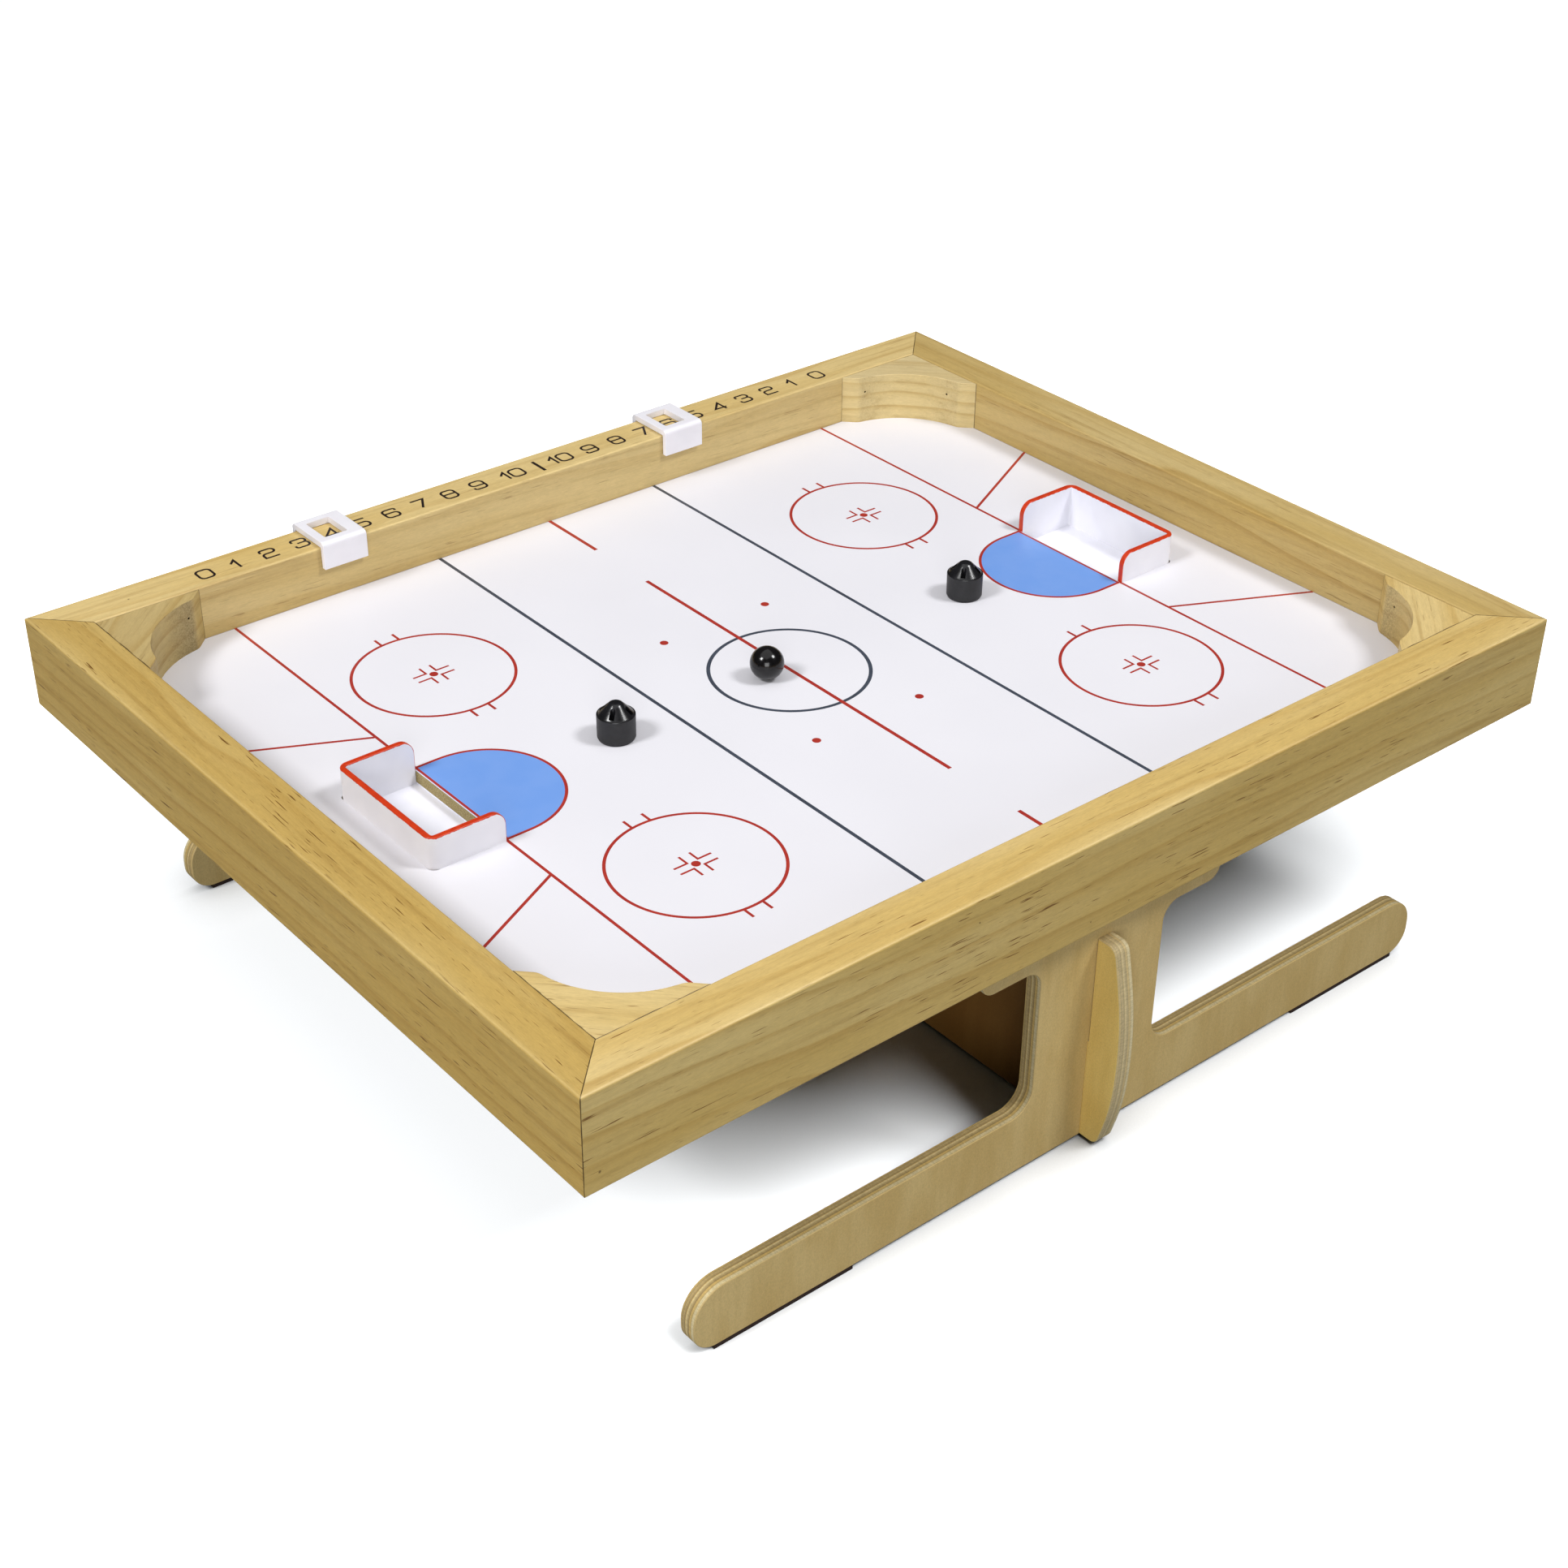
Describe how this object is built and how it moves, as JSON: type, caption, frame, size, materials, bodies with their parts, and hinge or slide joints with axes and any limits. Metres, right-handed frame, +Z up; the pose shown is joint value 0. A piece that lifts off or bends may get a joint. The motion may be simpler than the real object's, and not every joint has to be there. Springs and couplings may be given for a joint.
{
  "type": "tabletop hockey game",
  "caption": "Tabletop magnetic hockey game: a walled rink on a slot-together plywood stand, with end goals, magnet-driven strikers, a ball and sliding score markers.",
  "frame": {"origin": "on the floor under the middle of the table", "axes": "+X along the rink towards the right-hand goal, +Y towards the score rail, +Z up"},
  "size_m": [0.559, 0.4606, 0.176],
  "materials": {
    "pine_front": "clear-varnished pine, grain along X",
    "pine_score": "clear-varnished pine, grain along X",
    "pine_left": "clear-varnished pine, grain along Y",
    "pine_right": "clear-varnished pine, grain along Y",
    "pine_block_front_left": "clear-varnished pine, grain on the diagonal",
    "pine_block_front_right": "clear-varnished pine, grain on the diagonal",
    "pine_block_back_left": "clear-varnished pine, grain on the diagonal",
    "pine_block_back_right": "clear-varnished pine, grain on the diagonal",
    "plywood_panel": "varnished plywood, layered edges",
    "plywood_stretcher": "varnished plywood, layered edges",
    "board_mdf": "raw fibreboard",
    "rink_white": "white printed sheet",
    "goal_white": "white moulded plastic with a red painted rim",
    "slider_white": "white moulded plastic",
    "striker_black": "black moulded plastic",
    "grip_black": "black moulded plastic",
    "ball_black": "glossy black",
    "felt_dark": "thin felt",
    "magnet_nickel": "nickel-plated magnet",
    "brad_steel": "dulled steel pin",
    "screw_zinc": "zinc-plated",
    "pad_dark": "dark self-adhesive pad"
  },
  "bodies": {
    "table": {"rail_front": "pine_front", "rail_score": "pine_score", "rail_left": "pine_left", "rail_right": "pine_right", "corner_block_front_left": "pine_block_front_left", "corner_block_front_right": "pine_block_front_right", "corner_block_back_left": "pine_block_back_left", "corner_block_back_right": "pine_block_back_right", "frame_brads": "brad_steel", "block_brads": "brad_steel", "playing_board": "board_mdf", "rink_sheet": "rink_white", "goal_left": "goal_white", "goal_right": "goal_white", "goal_screws_left": "screw_zinc", "goal_screws_right": "screw_zinc", "leg_panel_front": "plywood_panel", "leg_panel_back": "plywood_panel", "leg_stretcher": "plywood_stretcher", "foot_pad_front_left": "pad_dark", "foot_pad_front_right": "pad_dark", "foot_pad_back_left": "pad_dark", "foot_pad_back_right": "pad_dark"},
    "score_marker_left": {"score_slider_left": "slider_white"},
    "score_marker_right": {"score_slider_right": "slider_white"},
    "handle_left": {"handle_left_grip": "grip_black", "handle_left_magnet": "magnet_nickel", "handle_left_felt": "felt_dark"},
    "handle_right": {"handle_right_grip": "grip_black", "handle_right_magnet": "magnet_nickel", "handle_right_felt": "felt_dark"},
    "striker_left": {"striker_left_cap": "striker_black", "striker_left_magnet": "magnet_nickel", "striker_left_felt": "felt_dark"},
    "striker_right": {"striker_right_cap": "striker_black", "striker_right_magnet": "magnet_nickel", "striker_right_felt": "felt_dark"},
    "ball": {"game_ball": "ball_black"}
  },
  "joints": [
    {"name": "score_marker_left_slide", "type": "slide", "parent": "table", "child": "score_marker_left", "axis": [1, 0, 0], "range_m": [-0.066, 0.1075]},
    {"name": "score_marker_right_slide", "type": "slide", "parent": "table", "child": "score_marker_right", "axis": [1, 0, 0], "range_m": [-0.0725, 0.101]},
    {"name": "handle_left_slide", "type": "slide", "parent": "table", "child": "handle_left", "axis": [1, 0, 0], "range_m": [-0.063, 0.068]},
    {"name": "handle_right_slide", "type": "slide", "parent": "table", "child": "handle_right", "axis": [1, 0, 0], "range_m": [-0.094, 0.047]},
    {"name": "striker_left_slide", "type": "slide", "parent": "table", "child": "striker_left", "axis": [1, 0, 0], "range_m": [-0.063, 0.068]},
    {"name": "striker_right_slide", "type": "slide", "parent": "table", "child": "striker_right", "axis": [1, 0, 0], "range_m": [-0.094, 0.047]},
    {"name": "ball_roll", "type": "slide", "parent": "table", "child": "ball", "axis": [0, 1, 0], "range_m": [-0.189, 0.188]}
  ],
  "couplings": [
    {"joint": "striker_left_slide", "follows": "handle_left_slide", "ratio": 1},
    {"joint": "striker_right_slide", "follows": "handle_right_slide", "ratio": 1}
  ]
}
